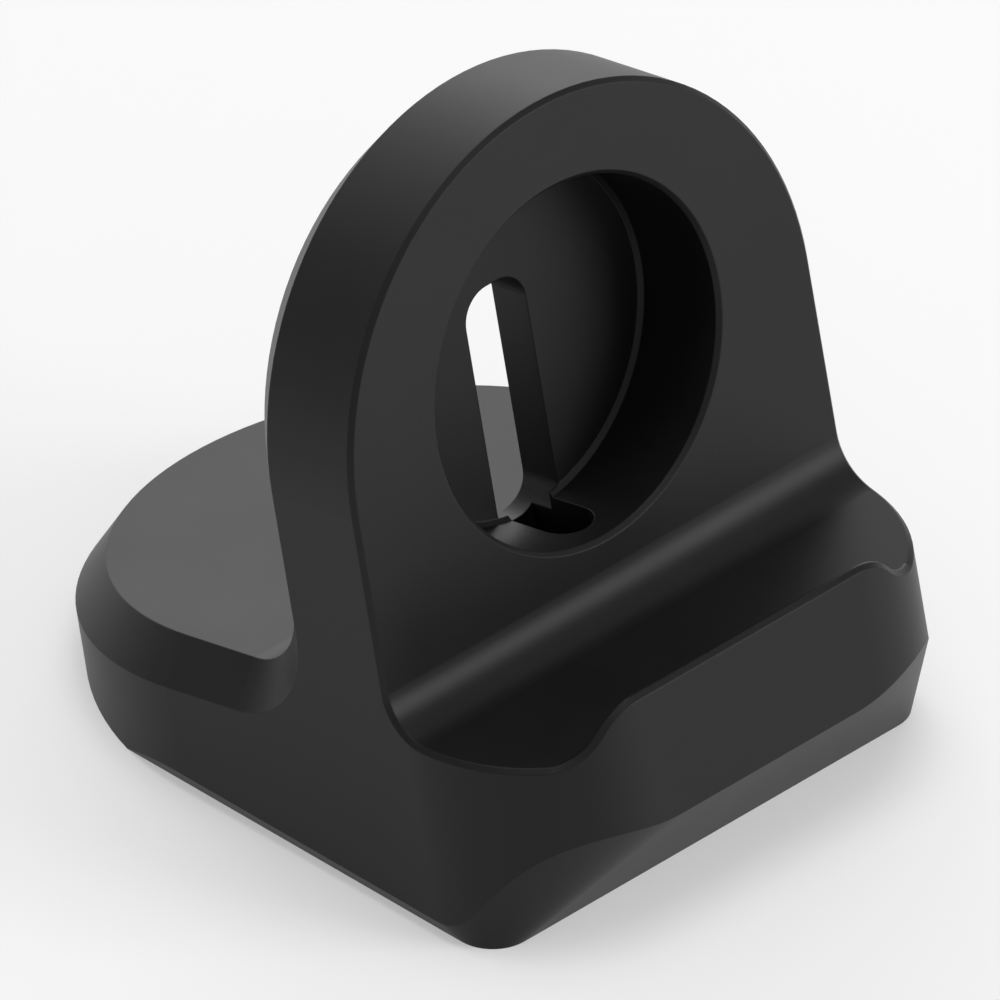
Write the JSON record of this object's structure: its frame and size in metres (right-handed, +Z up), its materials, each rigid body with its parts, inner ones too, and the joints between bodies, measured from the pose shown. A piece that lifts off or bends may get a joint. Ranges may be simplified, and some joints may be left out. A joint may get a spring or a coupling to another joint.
{
  "type": "watch charging stand",
  "caption": "Soft black stand for a round magnetic watch charger: leaning arched plate with a pocket, half-round heel behind and a lipped trough for the band in front.",
  "frame": {"origin": "on the underside, at mid-width on the line where the plate's front face would meet the table", "axes": "+Z up from the table, +Y back from the trough towards the heel, +X across the stand"},
  "size_m": [0.047, 0.0616, 0.0559],
  "materials": {
    "silicone": "satin moulded silicone"
  },
  "bodies": {
    "root": {"silicone_stand": "silicone"}
  },
  "joints": []
}
